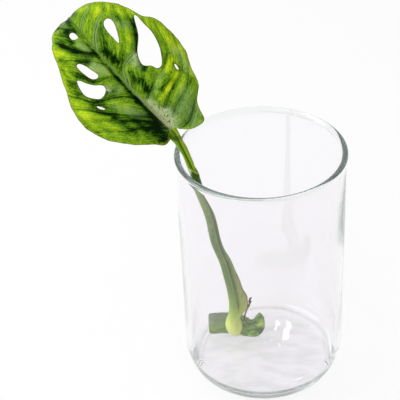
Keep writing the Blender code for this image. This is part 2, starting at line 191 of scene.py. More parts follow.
class Finish:
    """The material of one piece. Its skin is the Principled shader, with its even values."""

    def __init__(self, name, piece, even):
        material = bpy.data.materials.new(name)
        material.use_nodes = True
        piece.data.materials.append(material)
        self.tree = material.node_tree
        self.skin = self.tree.nodes["Principled BSDF"]
        for socket, value in even.items():
            self.skin.inputs[socket].default_value = value

    def node(self, kind, settings, sockets, output=0):
        """Add a node of one kind: its settings first, then the values or links it takes."""
        made = self.tree.nodes.new(kind)
        for name, value in settings.items():
            if name == "stops":
                ramp = made.color_ramp
                while len(ramp.elements) < len(value):
                    ramp.elements.new(1)
                for stop, (place, colour) in zip(ramp.elements, value):
                    stop.position = place
                    stop.color = (*colour, 1)
            else:
                setattr(made, name, value)
        for name, value in sockets.items():
            if isinstance(value, Signal):
                self.tree.links.new(value.socket, made.inputs[name])
            else:
                made.inputs[name].default_value = value
        return Signal(self, made.outputs[output])

    def stored(self, name):
        """The number that keep() stored under this name."""
        return self.node("ShaderNodeAttribute", {"attribute_name": name}, {}, "Fac")

    def coats(self, colour, *coats):
        """Lay coats over a colour, each as (its colour, its share between 0 and 1)."""
        for coat, share in coats:
            under, over = ((*c, 1) if isinstance(c, tuple) else c for c in (colour, coat))
            colour = self.node("ShaderNodeMix", {"data_type": "RGBA"}, {0: share, 6: under, 7: over}, 2)
        return colour

    def ramp(self, value, *stops):
        """Colours strung along a value between 0 and 1, each as (place, colour)."""
        return self.node("ShaderNodeValToRGB", {"stops": stops}, {"Fac": value})

    def place(self, x=1, y=1, z=1):
        """Object coordinates, drawn together along each axis."""
        here = self.node("ShaderNodeTexCoord", {}, {}, "Object")
        return self.node("ShaderNodeMapping", {}, {"Vector": here, "Scale": (x, y, z)})

    def cloud(self, where, scale, detail):
        """Cloudy noise between 0 and 1 at a place."""
        return self.node("ShaderNodeTexNoise", {}, {
            "Vector": where, "Scale": scale, "Detail": detail})

    def grain(self, scale, detail, **stretch):
        """Cloudy noise over the object, drawn out along the axes whose number is under 1."""
        return self.cloud(self.place(**stretch), scale, detail)

    def feed(self, socket, signal):
        self.tree.links.new(signal.socket, self.skin.inputs[socket])

    def paint(self, colour, *coats):
        """Give the skin its colour, with the coats laid over it."""
        self.feed("Base Color", self.coats(colour, *coats))

    def show(self, shader, part="Surface"):
        self.tree.links.new(shader.socket, self.tree.nodes["Material Output"].inputs[part])

    def emboss(self, height, distance, strength):
        """Raise the surface by a height between 0 and 1 times a distance in metres."""
        self.feed("Normal", self.node("ShaderNodeBump", {}, {
            "Height": height, "Distance": distance, "Strength": strength}, "Normal"))


def glass_surface(sides):
    """The glass turned round Z: (r cos a, r sin a, z) for each profile point (r, z), from the
    foot's centre up the outside, over the bead and down the inside.

    At the back the bead stands proud of the inner wall and in front it runs straight into it,
    so two profiles are mixed by the cosine of a. The inner wall wavers by sines of a and z, and
    the inner floor by sines of a and r, less at the back. The foot rises to its hollow by a
    smooth step of r. Its ribs are a squared cosine of a times a bell of r.
    """
    angle = once_round(sides)
    lower, upper = WALL_RADIUS_LOW, WALL_RADIUS_TOP
    bead = (RIM_RADIUS - BEAD_RADIUS, GLASS_HEIGHT - BEAD_RADIUS)
    bead_inside = RIM_RADIUS - 2 * BEAD_RADIUS
    inner_low = lower - WALL_THICKNESS
    corner = (inner_low - FLOOR_CORNER, FLOOR_THICKNESS + FLOOR_CORNER)
    profiles = []
    for proud, bead_end in ((0, 181), (BEAD_PROUD, 222)):
        lip = bead_inside + proud
        outer = np.vstack([
            np.linspace((1, 0), (FOOT_RADIUS - 0.4, 0), 44),
            arc((FOOT_RADIUS, HEEL_HEIGHT), (lower - FOOT_RADIUS, HEEL_HEIGHT), -90, -1, 24),
            curve_through(((lower, 18), (lower, 40), (upper, 70), (upper, 100),
                           (upper, 109), (upper + 0.04, 112)), 26),
            arc(bead, (BEAD_RADIUS, BEAD_RADIUS), -42, bead_end, 25)])
        inner = np.vstack([
            curve_through(((lip, 112), (lip, 108), (bead_inside + 0.8 * proud, 90),
                           (0.5 * (bead_inside + inner_low), 62), (inner_low + 0.08, 36),
                           (inner_low, 12)), 30),
            arc(corner, (FLOOR_CORNER, FLOOR_CORNER), -3, -90, 9),
            np.linspace((corner[0] - 1.5, FLOOR_THICKNESS), (1, FLOOR_THICKNESS), 14)])
        profiles.append(np.vstack([outer, inner]))
    front, back = profiles
    share = 0.5 + 0.5 * np.cos(angle - np.radians(BEAD_PROUD_SIDE))
    radius, height = (front[:, k:k + 1] + (back - front)[:, k:k + 1] * share for k in (0, 1))
    within = np.arange(len(front))[:, None] >= len(outer)
    wall = within * step(height, 9, 30) * step(height, 112, 96)
    radius = radius + wall * (0.07 * np.sin(3 * angle + height / 21)
                              + 0.05 * np.sin(5 * angle - height / 13)
                              + 0.04 * np.sin(2 * angle + height / 34))
    low = ~within * (height < 1.5)
    hollow = low * FOOT_HOLLOW * (1 - step(radius, 9, FOOT_RADIUS + 0.6))
    uneven = 0.11 + 0.05 * np.sin(7 * angle + 2 * np.sin(3 * angle))
    ribs = (low * hump(radius, RIB_RADIUS, 0.8) * uneven
            * (1 + np.cos(FOOT_RIBS * angle + 1.5 * np.sin(11 * angle))) ** 2)
    bed = (within * (height < FLOOR_THICKNESS + 0.1) * step(radius, 2, 8)
           * (1 - 0.85 * step(radius * np.sin(angle), 0, 9)))
    ripple = bed * (0.003 * np.sin(radius / 2.6 + 1.3 * np.cos(angle))
                    + 0.005 * np.sin(3 * angle + radius / 5))
    height = height + hollow + ribs + ripple
    points = np.stack([radius * np.cos(angle), radius * np.sin(angle), height], axis=-1)
    return points, {"green": step(height, 110, 114),
                    "foot": low * step(radius, 30, 27),
                    "ring": within * (height < 9) * hump(radius, FLOOR_RING, 0.55)}


glass = lattice("glass", *glass_surface(4 * FOOT_RIBS))
clear = Finish("clear glass", glass, {"Roughness": 0, "IOR": 1.5, "Transmission Weight": 1})
# Painted shade in cloudy patches over the foot, standing in for the light broken up by the thick glass
shade_swirl = clear.grain(75, 5, y=2.2).step(0.4, 0.66)
# A dotted ring of painted shade along the edge of the inner floor, where that edge looks dark through
# the glass
dots = clear.grain(900, 2).step(0.35, 0.65)
clear.paint(
    CLEAR_GLASS,
    (RIM_GREEN, clear.stored("green")),
    (FOOT_SHADE_CLOUD, clear.stored("foot") * shade_swirl),
    (FLOOR_RING_SHADE, clear.stored("ring") * (dots * 0.6 + 0.4)))
# Shadow rays pass straight through, and the glass itself is green only through its depth
lamp_ray = clear.node("ShaderNodeLightPath", {}, {}, "Is Shadow Ray")
see_through = clear.node("ShaderNodeBsdfTransparent", {}, {"Color": (0.9, 0.9, 0.9, 1)})
clear.show(clear.node("ShaderNodeMixShader", {}, {
    0: lamp_ray, 1: Signal(clear, clear.skin.outputs[0]), 2: see_through}))
clear.show(clear.node("ShaderNodeVolumeAbsorption", {}, {
    "Color": (*GLASS_TINT, 1), "Density": GLASS_DEPTH}), "Volume")
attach(glass, "root")
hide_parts("glass_vase")


# The stem section is a short length of the vine, cut square at the left and torn to a rounded
# hook at the right. It lies on the glass's floor. Its skin is smooth, firm and finely ribbed,
# with corky streaks, and its cut faces have dried pale brown.
GAP = 0.3
STEM_RADIUS = 5.0
STEM_LEFT = -25.9
STEM_RIGHT = 0.4
STEM_ROUTE = ((STEM_LEFT, 12.1), (-18, 13.2), (-12, 12.2), (-6, 10.8), (STEM_RIGHT, 10.8))
STEM_REST = FLOOR_THICKNESS + GAP + STEM_RADIUS
STEM_NODE_X = -9.6
DENT_X = -5.6
DENT_DEPTH = 3.0
HOOK_X = -2.0
HOOK_HEIGHT = 1.9
TORN_LENGTH = 4.4
# Rings of a cut face: share of the last ring's size, and depth behind it
CUT_RINGS = ((0.94, 0.1), (0.6, 0.45), (0.25, 0.5))


def stem_surface(rows, columns):
    """A round section carried along X: (x, y0 + r cos a, z0 + r sin a).

    The radius r is reduced near both ends, at the right by a quarter circle of x that bites
    deeper below, and on top by a bell for the dent. It is raised by a bell for the hook and by
    low cosines of a for the ribs. The torn end leans with y and z.
    """
    angle = once_round(columns)
    flat = curve_through(STEM_ROUTE, rows)
    x = flat[:, :1]
    u = np.linspace(0, 1, rows)[:, None]
    below = 0.5 - 0.5 * np.cos(angle - np.radians(80))
    near_tear = np.clip((x - STEM_RIGHT) / TORN_LENGTH + 1, 0, 0.97)
    round_end = 1 - np.sqrt(1 - near_tear ** 2)
    rounding = 1 - 0.06 * (1 - step(u, 0, 0.04)) - round_end * (0.22 + 0.75 * below)
    top_back = np.clip(np.cos(angle - np.radians(70)), 0, 1)
    dent = DENT_DEPTH * hump(x, DENT_X, 2.1) * top_back ** 2
    hook = HOOK_HEIGHT * hump(x, HOOK_X, 2.2) * top_back ** 3
    ring = 0.12 * hump(x, STEM_NODE_X, 0.9) + 0.1 * hump(x, STEM_LEFT + 3.2, 0.5)
    ribs = 0.05 * np.cos(17 * angle + 0.7 * np.sin(x)) + 0.05 * np.cos(5 * angle + x / 4)
    radius = STEM_RADIUS * rounding - dent + hook + ring + ribs
    points = np.stack([x + 0 * radius, flat[:, 1:] + radius * np.cos(angle),
                       STEM_REST + radius * np.sin(angle)], axis=-1)
    torn = step(points[..., 0], STEM_RIGHT - 3, STEM_RIGHT)
    points[..., 0] += torn * (0.06 * (points[..., 2] - STEM_REST) - 0.12 * (points[..., 1] - 9.9))
    points[..., 2] = np.maximum(points[..., 2], FLOOR_THICKNESS + GAP)
    ends = [[end.mean(axis=0) + (end - end.mean(axis=0)) * share + (inward * depth, 0, 0)
             for share, depth in CUT_RINGS] for end, inward in ((points[0], 1), (points[-1], -1))]
    points = np.concatenate([ends[0][::-1], points, ends[1]])
    cut = np.ones((len(points), 1))
    cut[len(CUT_RINGS):-2 * len(CUT_RINGS)] = 0
    return points, {"cut": cut, "up": np.sin(angle), "along": np.linspace(0, 1, len(points))[:, None]}


stem = lattice("stem", *stem_surface(150, 96))
stem_skin = Finish("stem skin", stem, {"Roughness": 0.45, "Specular IOR Level": 0.35})
along_stem = stem_skin.stored("along")
lengthwise = stem_skin.grain(950, 4, x=0.2)
cloudy = stem_skin.grain(420, 4, x=0.8)
cork = stem_skin.grain(1500, 2, x=0.35).step(0.58, 0.72)
mottled = (cloudy - 0.5) * (along_stem.step(0.5, 0.75) + 0.5) + 0.5
greyed_top = stem_skin.stored("up").step(0.1, 0.95) * (1 - along_stem.step(0.45, 0.7) * 0.9)
specks = stem_skin.grain(1300, 2).step(0.46, 0.6)
dried = stem_skin.coats((0.42, 0.34, 0.16), ((0.1, 0.06, 0.03), specks))
# Over the green: grey on top, corky streaks, dark lines, and the dried cut faces
stem_skin.paint(
    stem_skin.ramp(mottled, (0.3, (0.05, 0.13, 0.015)), (0.45, (0.13, 0.24, 0.035)),
                   (0.58, (0.26, 0.4, 0.06)), (0.72, (0.48, 0.62, 0.15))),
    ((0.14, 0.17, 0.12), greyed_top * 0.85),
    ((0.46, 0.54, 0.28), cork * 0.35),
    ((0.03, 0.07, 0.015), lengthwise.step(0.5, 0.7) * 0.35),
    (dried, stem_skin.stored("cut")))
stem_skin.emboss(lengthwise * 0.6 + cork * 0.5, 0.0003, 0.7)
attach(stem, "root")
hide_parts("stem_section")


# The leaf stalk grows from the stem's node and leans on the rim. It has a rounded clasping
# foot, a thin sheath wing down its right side, a channel in front and, over a small collar,
# the smooth yellow-green knuckle that carries the blade.
TO_VIEWER = np.array([0, -1, 0])
STALK_ROUTE = (
    (-13.1, 8.6, 7), (-13.8, 7.5, 15.2), (-13.5, 5.3, 22.8), (-13.3, 3.6, 31),
    (-14.3, 1.2, 41), (-16.8, -2.5, 56.5), (-20.2, -6.3, 71), (-22.2, -10.3, 88),
    (-25.1, -13.8, 101.8), (-27.65, -17, 114.8), (-30.8, -20.1, 126.5), (-34.6, -23.7, 139.5),
)
# Place along the stalk, and its half width there
STALK_HALF_WIDTH = (
    (0, 1.2), (0.012, 2.5), (0.03, 3.3), (0.06, 3.9), (0.09, 3.8), (0.12, 3.2), (0.16, 2.55),
    (0.25, 2.15), (0.37, 1.9), (0.48, 1.85), (0.6, 1.85), (0.72, 1.6), (0.795, 1.65),
    (0.82, 1.65), (0.87, 1.65), (0.93, 1.85), (0.97, 1.95), (1, 2), (1.015, 1.9),
    (1.03, 1.35), (1.06, 0.5),
)
# Place along the stalk, and how far the wing reaches there
WING_REACH = (
    (0, 0), (0.13, 0), (0.15, 0.7), (0.165, 1.7), (0.18, 2.8), (0.205, 3.9), (0.23, 4.6),
    (0.25, 4.75), (0.28, 4.3), (0.31, 3.6), (0.35, 2.9), (0.42, 2.1), (0.5, 0.9), (0.6, 0.6),
    (0.7, 0),
)
STALK_ROWS = 420
CHANNEL_DEPTH = 0.45
GROOVE_DEPTH = 0.55
BLADE_WAY = np.array([-0.641, 0.175, 0.748])


def unit(vectors):
    """Each vector divided by its length."""
    return vectors / np.linalg.norm(vectors, axis=-1, keepdims=True)


def carried(route, across, ahead):
    """Points route + across * side + ahead * front, where side and front are square to the
    route and front is the one nearest the viewer."""
    along = unit(np.gradient(route, axis=0))
    side = unit(np.cross(along, TO_VIEWER))
    front = unit(np.cross(side, along))
    return (route[:, None, :] + across[..., None] * side[:, None, :]
            + ahead[..., None] * front[:, None, :])


def stalk_surface(rows, columns):
    """A round section carried along the stalk's route, its radius a function of the place u
    along it and the angle a round it.

    Bells of a are added for the wing and taken off for the channel and the knuckle's groove,
    each times its reach at u. Cosines of a swell the knuckle to the left under the blade and
    narrow it to the right. Twelve more rows turn it the midrib's way, into the blade's foot.
    """
    angle = once_round(columns)
    route = curve_through(STALK_ROUTE, rows)
    further = np.linspace(0.3, 6, 12)[:, None]
    turned = step(further, 0, 1.8)
    onward = further * ((1 - turned) * unit(route[-1] - route[-2]) + turned * BLADE_WAY)
    u = np.concatenate([np.linspace(0, 1, rows)[:, None], 1 + 0.01 * further])

    def ridge(centre, width):
        off = (np.degrees(angle) - centre + 180) % 360 - 180
        return hump(off, 0, width)

    crest = ridge(-15, 17)
    wing = np.interp(u, *np.transpose(WING_REACH)) * (1 + 0.05 * np.sin(70 * u)) * crest
    channel = step(u, 0.16, 0.27) * (1 - step(u, 0.72, 0.77)) * ridge(20, 14)
    groove = step(u, 0.838, 0.87) * ridge(70, 15)
    leftward = ((1.3 * step(u, 0.96, 1.005) * step(u, 1.04, 1)
                 - 0.62 * hump(u, 0.91, 0.035)) * np.clip(-np.cos(angle), 0, 1))
    rightward = ((0.3 * step(u, 0.93, 0.96) + 0.3 * hump(u, 0.846, 0.014))
                 * np.clip(np.cos(angle), 0, 1))
    collar = 0.16 * step(u, 0.8, 0.81) * step(u, 0.855, 0.84)
    ribs = 0.02 * np.cos(19 * angle) * step(u, 0.1, 0.2) * step(u, 0.78, 0.7)
    bumps = 0.06 * np.sin(23 * u + 2 * angle) + 0.05 * np.sin(41 * u - angle)
    radius = (np.interp(u, *np.transpose(STALK_HALF_WIDTH)) + wing - CHANNEL_DEPTH * channel
              - GROOVE_DEPTH * groove + leftward - rightward + collar + ribs + bumps)
    points = carried(np.vstack([route, route[-1] + onward]),
                     radius * np.cos(angle), radius * np.sin(angle))
    return points, {"height": u, "side": np.cos(angle), "front": np.sin(angle),
                    "wing": wing / (wing + 1.5), "sunk": np.maximum(channel, groove),
                    "wing_edge": crest * step(u, 0.13, 0.17) * step(u, 0.46, 0.4)}


stalk = lattice("stalk", *stalk_surface(STALK_ROWS, 120))
stalk_skin = Finish("stalk skin", stalk, {"Roughness": 0.4, "Specular IOR Level": 0.08})
up, side, front = (stalk_skin.stored(name) for name in ("height", "side", "front"))


def toward(degrees):
    """Cosine of how far the skin faces away from one direction round the stalk."""
    return side * np.cos(np.radians(degrees)) + front * np.sin(np.radians(degrees))


fibres = stalk_skin.grain(1500, 3, z=0.1)
clouds = stalk_skin.grain(260, 3, z=0.4)
pores = stalk_skin.grain(2400, 2, z=0.6)
below_knuckle = up.fall(0.765, 0.785)
# The seam round the knuckle's foot dips in front, and the shade under the blade is tilted
seam = up + abs(side + 0.1) * 0.014 + side.between(0, 1) * 0.013
tilted = up + side * 0.01
top_shade = tilted.step(0.975, 0.987) * (1 - tilted.step(0.995, 1.003) * side.step(-0.5, 0.1))
body = stalk_skin.ramp(
    up,
    (0, (0.92, 0.94, 0.58)), (0.03, (0.76, 0.8, 0.32)), (0.07, (0.68, 0.74, 0.22)),
    (0.11, (0.66, 0.74, 0.19)), (0.16, (0.52, 0.65, 0.14)), (0.21, (0.36, 0.49, 0.07)),
    (0.28, (0.22, 0.35, 0.05)), (0.4, (0.13, 0.22, 0.04)), (0.58, (0.105, 0.18, 0.035)),
    (0.7, (0.2, 0.29, 0.07)), (0.76, (0.2, 0.29, 0.06)), (0.785, (0.05, 0.11, 0.004)),
    (0.84, (0.035, 0.09, 0.003)), (1, (0.04, 0.1, 0.003)))
# The knuckle's green across its width is painted light and shade: a lime ridge at the left, a shaded
# groove, a painted highlight on the right ridge, and darker towards the right edge
knuckle = stalk_skin.coats(
    stalk_skin.ramp(
        side * 0.5 + 0.5,
        (0, (0.32, 0.46, 0.08)), (0.12, (0.28, 0.45, 0.04)), (0.3, (0.17, 0.31, 0.004)),
        (0.48, (0.12, 0.25, 0.001)), (0.61, (0.11, 0.22, 0.001)), (0.71, (0.21, 0.36, 0.003)),
        (0.8, (0.3, 0.455, 0.006)), (0.93, (0.25, 0.37, 0.01)), (1, (0.22, 0.33, 0.04))),
    # Painted shade round the knuckle's foot, by the seam
    ((0.08, 0.15, 0.004), seam.fall(0.858, 0.876) * 0.6),
    ((0.035, 0.08, 0.001), top_shade * (0.85 - side.step(0, 0.6) * 0.25)),
    ((0.36, 0.42, 0.19), up.step(1.01, 1.04)))
wing_green = stalk_skin.ramp(up, (0.1, (0.48, 0.55, 0.12)), (0.2, (0.42, 0.47, 0.11)),
                             (0.4, (0.27, 0.33, 0.1)), (0.6, (0.2, 0.28, 0.09)))
pale_line = toward(60).step(0.975, 0.996) * up.step(0.28, 0.4) * up.fall(0.66, 0.75)
fibre_lines = fibres.step(0.5, 0.7)
scar = toward(20).step(0.9, 0.99) * up.fall(0.03, 0.07)
collar_line = seam.step(0.844, 0.848) * seam.fall(0.852, 0.856)
collar_tip = (toward(126) - up.step(0.85, 0.82) * 0.1).step(0.88, 0.96) * (
    up.step(0.826, 0.832) * up.fall(0.852, 0.862))
# Over the body: the knuckle with its painted light and shade, the wing, painted shade in the
# channel and groove, a pale line, pale clouds, dark fibres, pale pores, the wing's brown edge,
# the foot's scar, the collar's line and its tip
stalk_skin.paint(
    body,
    (knuckle, seam.step(0.848, 0.854)),
    (wing_green, stalk_skin.stored("wing").step(0.1, 0.5)),
    # Painted shade in the channel and the groove
    ((0.012, 0.055, 0.001), stalk_skin.stored("sunk").step(0.15, 0.8) * 0.6),
    ((0.36, 0.42, 0.16), pale_line * 0.3),
    ((0.3, 0.36, 0.15), clouds.step(0.48, 0.75) * below_knuckle * 0.4),
    ((0.04, 0.08, 0.015), fibre_lines * below_knuckle * (up.step(0.02, 0.2) * 0.2 + 0.1)),
    ((0.62, 0.68, 0.36), pores.step(0.62, 0.72) * up.fall(0.5, 0.8) * 0.5),
    ((0.1, 0.06, 0.025), stalk_skin.stored("wing_edge").step(0.8, 0.97) * 0.8),
    ((0.16, 0.1, 0.04), scar * 0.8),
    ((0.34, 0.46, 0.1), collar_line * 0.7),
    ((0.52, 0.62, 0.28), collar_tip * 0.8))
stalk_skin.emboss(fibres * 0.7 + pores * 0.3, 0.00018, 0.7)
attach(stalk, "root")
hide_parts("leaf_stalk")


# The leaf blade is one thin firm blade with holes between its side veins. The midrib lies in
# a groove, both halves rise from it and fall to the margin, cushions stand between the sunken
# side veins, and the tip curls back. Its green, with painted light and shade, runs from nearly
# black to lime.
BLADE_LENGTH = 78.2
BLADE_THICKNESS = 0.8
BLADE_OFFSET = 0.4
BLADE_AZIMUTH = 4.2
BLADE_ELEVATION = 32.0
MIDRIB_LEAN = 39.8
BEND_START = 12.0
BEND_END = -120.0
BEND_POWER = 3.2
BEND_STEPS = 400
MIDRIB_BOW = 0.9
MIDRIB_RIDGE = 1.1
RISE_RIGHT = 3.4
RISE_LEFT = 4.4
POINT_SPACING = 0.42
EDGE_CLEARANCE = 0.45 * POINT_SPACING
END_LANE = 7.0
LEFT_LANES = 20.0
# Margin and holes: length along the midrib, and distance to its right
BLADE_MARGIN = (
    (1, 0), (0.4, 1.8), (-0.8, 2.7), (-2.6, 4.6), (-4.3, 8.2), (-4.7, 11.2), (-3.6, 12.8), (-0.2, 13.5),
    (3.2, 15.5), (5.2, 18), (8.6, 21), (15.9, 23.8), (21, 26.3), (28.5, 27.1), (36, 26.6), (39.8, 25.1),
    (42.8, 22.7), (45, 21.8), (49.2, 20.3), (53.5, 18.2), (58.5, 14.2), (64.5, 9.2), (70, 4.6),
    (75, 1.5), (78.2, 0), (75, -1.7), (69.5, -5.7), (62, -10.9), (55, -13.9), (48.6, -16.3),
    (41, -19.7), (36.8, -21.7), (30.8, -23.5), (24, -23.6), (17.4, -21.6), (10.4, -16.9), (2.8, -9.2),
    (-0.3, -6.3), (-0.7, -3.9), (0.1, -1.8),
)
BLADE_HOLES = (
    ((56.7, -4.3), (57.6, -2.9), (56.6, -2.1), (54, -2), (53.5, -3.3), (54.4, -4.5)),
    ((45.3, -9.7), (45.1, -8.4), (43, -7.2), (40.5, -6.5), (37.3, -5.8), (36.6, -7.1), (37.9, -8.8),
     (40.6, -9.6), (43.5, -10)),
    ((40.9, -13.7), (40.2, -12.6), (37.9, -11.4), (35.5, -9.7), (33.3, -7.3), (31.4, -7.4),
     (30.1, -9.5), (30.4, -12), (34.2, -14.9), (37.6, -14.9)),
    ((28.9, -14.6), (27.5, -13.4), (25.9, -12.8), (26.4, -13.8), (27.7, -14.6)),
    ((50.3, 9.3), (50.8, 11.4), (48.8, 12.6), (45.3, 11.6), (40.7, 8.8), (44, 8.4), (47.6, 8.4)),
    ((44.3, 20), (44.1, 21.1), (40, 21.2), (35.6, 21.4), (31.1, 20.4), (27.3, 18.6), (23.5, 15.5),
     (23.7, 13.2), (26.1, 12.1), (28.7, 9.9), (33.2, 11.6), (38.1, 16.6)),
    ((20.3, 19.2), (19.3, 19.6), (17.3, 19.1), (18.4, 18.5)),
)
# Side veins of the right and the left half, from the base to the tip: length along the
# midrib, distance from it
RIGHT_VEINS = (
    ((-1, 0), (0, 2.2), (-0.7, 4.5), (-0.5, 7.4), (0.8, 10.2), (2.6, 13), (6, 19)),
    ((3.5, 0), (4.9, 2.9), (6.2, 5.1), (7.6, 8), (8.8, 11.9), (10, 15.9), (12.5, 19.5), (20, 28)),
    ((8, 0), (9.2, 2.6), (11, 6.8), (13.2, 10.5), (14.6, 14.7), (15.8, 18.8), (20, 22.6), (26, 25.4),
     (36, 30)),
    ((15.5, 0), (17.1, 2), (19.1, 5.4), (20.5, 8.6), (21.6, 12.1), (22.6, 16), (24.6, 19.2),
     (28.3, 21.9), (34, 23.6), (44, 27)),
    ((25, 0), (28.4, 1.6), (31.8, 3.2), (33.4, 5.5), (34, 10.1), (35, 12.6), (40.8, 16.4), (46, 18.4),
     (56, 22)),
    ((31.5, 0), (33.4, 3), (36.2, 7.2), (40.6, 11.6), (45.4, 14.2), (51, 15.8), (60, 18)),
    ((44.5, 0), (47.6, 1.8), (50.1, 4.4), (52.7, 8.6), (55, 13.2), (58, 18)),
)
LEFT_VEINS = (
    ((1, 0), (5.5, 3), (9.2, 6.1), (11.6, 9.4), (14.4, 13.6), (18.5, 18), (24, 26)),
    ((5.5, 0), (10.2, 4), (14.2, 7.4), (17.8, 11.1), (21.5, 15), (25, 18.8), (30, 26)),
    ((8.5, 0), (11.4, 2.7), (14.6, 5.2), (18.9, 8.8), (22, 11.4), (25, 14.6), (29.5, 17.6), (36, 24)),
    ((16.5, 0), (20.8, 1.7), (24.1, 3.9), (26.6, 7.2), (28.6, 10.5), (30.4, 14.2), (34.5, 17),
     (42, 22)),
    ((29.5, 0), (32.5, 2), (34.6, 4.8), (35.6, 7.9), (37.6, 10.2), (42, 12.4), (47, 14.6), (54, 19)),
    ((37, 0), (40, 2.3), (43, 4.6), (46.4, 8), (50, 12), (55, 17)),
    ((43, 0), (45.6, 2.5), (48, 4.8), (51, 7.2), (56, 9.4), (64, 13)),
)
# How pale each right and each left vein is: a double line over 0, painted shade in its groove under it
VEIN_PALENESS = ((-0.9, -0.5, -0.5, -0.6, 1, -0.6, 0.9), (-0.5, -0.6, -1, -0.9, -0.8, -0.6, -1))
# Soft strokes of painted light and shade from (s, t) to (s, t): half width, and how much lighter.
# First the painted shade along the midrib and in the creases, then painted light on the cushions and
# the margin.
BLADE_LIGHT_AND_SHADE = (
    (0, -4.4, 7.5, -4.6, 2.6, -1.6), (2.5, -7, 6.5, -8.6, 1.6, -0.25),
    (11, -10.8, 17.5, -11.8, 1.3, -0.9), (7, -1.3, 19, -1.8, 1.3, -1.4), (20, -1.5, 36, -1.1, 1, -0.9),
    (42, -1, 50, -1, 0.7, -0.6), (10.6, -4.2, 21.2, -12.4, 0.9, -0.7),
    (21.2, -12.4, 30, -15.6, 1, -0.8), (24.5, -11, 31.5, -14, 1.2, -0.7),
    (29, -4.4, 30, -8.6, 1.4, -1.1), (36.8, -8.5, 43, -11.5, 1.1, -0.9),
    (37, -16.6, 42.5, -15.8, 1.6, -1), (66.5, -7.5, 70, -5, 1.4, -1.3), (43.2, -5.8, 45, -8.4, 1.5, -1),
    (44.5, -2.6, 50, -6.6, 1.2, -1.1), (50, -6.6, 54.5, -9, 1.5, -0.8),
    (54.5, -9, 60.5, -6.4, 1.5, -0.5), (53, -5.2, 59, -4.6, 1.3, -1.5), (57, -1.8, 73, -0.6, 1.2, -1.1),
    (66, -2.6, 72, -3, 1.4, -1.2), (20.5, 4.4, 24.5, 5.4, 1.6, -1.3), (26, 3.8, 29.5, 4.4, 1.3, -1),
    (27, 9.4, 31, 11, 1.3, -1.3), (36.5, 3.2, 42, 2.6, 1.9, -1.4), (44.5, 4, 50, 7.6, 1.5, -0.8),
    (33.8, 12, 38.4, 16.4, 1.1, -1.1), (38.5, 16.2, 42, 18, 1.2, -0.7),
    (41, 18.2, 43.5, 19.2, 1.2, -1.3), (8.4, 3.8, 10.2, 5.2, 1, -0.7), (16.7, 8.6, 17.3, 14, 1, -1),
    (13.6, 12, 15.8, 14.6, 0.7, -0.5), (10.4, 18.8, 13.5, 19.8, 1.2, -0.3),
    (13.5, 19.8, 22, 19, 0.6, -0.5), (0.6, 5.2, 1.6, 9, 1, -0.2), (65, 3.4, 72, 1.6, 1.4, -0.9),
    (16, -20.6, 22, -23.4, 0.9, -0.4), (14.1, 5.9, 15.1, 10.6, 0.9, 1), (15.1, 10.6, 16.8, 17, 1, 1),
    (19.6, 9, 22.5, 13.5, 1.2, 0.9), (20.8, 15.2, 22.2, 19, 1.2, 1), (10.8, 13.6, 14, 18.4, 1.8, 0.9),
    (54.4, 8.6, 56, 11.4, 1.5, 0.8), (48, 17.4, 56, 14.8, 1.5, 0.9), (57, 11.4, 66, 4.4, 1.6, 0.6),
    (44, 21, 49, 20, 1.2, 0.8), (13, 22.4, 22, 24, 2.2, 0.9), (24, 24.2, 40, 23.8, 1.9, 1),
    (39, 12.4, 46, 13.6, 1.1, 0.9), (36.5, 9.6, 43, 11, 1.2, 0.6), (30, -19, 35, -17.6, 1.5, 0.6),
    (15.4, -6, 20, -7.6, 1.1, 0.2), (20.6, -6.2, 24.4, -8, 1.6, 0.5), (27.6, -3.4, 31, -5.4, 1.3, 0.7),
    (35.6, -2.4, 41.6, -4.4, 1.7, 0.9), (47, -3, 53, -4.2, 1.2, 0.6), (17, -15.6, 27, -18.6, 2, 0.7),
    (29, -20.6, 37, -19.6, 1.6, 0.9), (48, -9.6, 54, -11.6, 1.5, 0.8), (9, -7.3, 14.5, -7.8, 1.5, -0.9),
    (18, -20, 34, -21.6, 1.2, 0.7), (40, -19.6, 62, -10, 0.9, 0.5), (43, -14.4, 47, -14, 1.2, 1),
)
# Warm yellow strokes over 0, and cool, smooth, greyish strokes of painted sheen under 0
BLADE_WARMTH_AND_SHEEN = (
    (14.1, 5.9, 16.8, 17, 1.2, 1), (20.8, 16.8, 22.4, 19.2, 1.4, 1), (55, 9, 56, 12, 1.5, 0.8),
    (48, 18.6, 56, 16.4, 1.3, 0.8), (26, 26, 38, 25.6, 1.5, 0.5), (38.5, 12.2, 41.6, 13.9, 1.1, 0.8),
    (17, -15.4, 23, -16.4, 1.5, 0.5), (42, -18, 56, -11, 2.4, 0.6), (2, -6.8, 12, -15.6, 1.3, 0.3),
    (57, 5.6, 62, 5, 1.6, 0.4), (4, 5, 8.5, 14, 2.8, -0.8), (-2.5, 8, 2, 12.5, 2.8, -0.9),
    (15, 21.6, 24, 23.4, 1.8, -0.5), (29, 8.6, 33, 8.6, 1.5, -0.9), (14, -4.4, 20, -6.8, 1.6, -0.9),
    (27.6, -3.8, 31, -6.4, 1.5, -0.7), (37, -3.2, 42, -5, 1.9, -0.9), (46.5, -2.6, 51, -3.8, 1.5, -0.8),
    (17, 4, 21, 13, 1.2, -0.5), (43, 15.8, 48, 12.8, 1.6, -0.6), (46, 1.4, 52, 7, 1.2, -0.7),
    (62, -3.6, 68, -2.6, 1.6, -0.7), (22, -9, 25, -9.4, 1.4, -0.4),
)
# Where the skin is a pale grey-green: painted gloss, and beside the midrib's foot partly its own colour
BLADE_PALE_GLOSS = (
    (1, 1.2, 9, 2.6, 2, 1), (9, 2.2, 16, 1.8, 1.4, 1), (5, 3.2, 8, 4.6, 1.4, 0.6),
    (31.2, 8.2, 33.2, 10, 1.1, 0.6), (66, -3, 69, -2.6, 1, 0.5), (30.2, -6.6, 31.2, -7.4, 0.8, 0.8),
    (38.8, -5.6, 40.8, -6.4, 0.8, 0.5),
)


def running_sum(values):
    """Sums of the values up to each one, from 0."""
    return np.concatenate([[0], np.cumsum(values)])


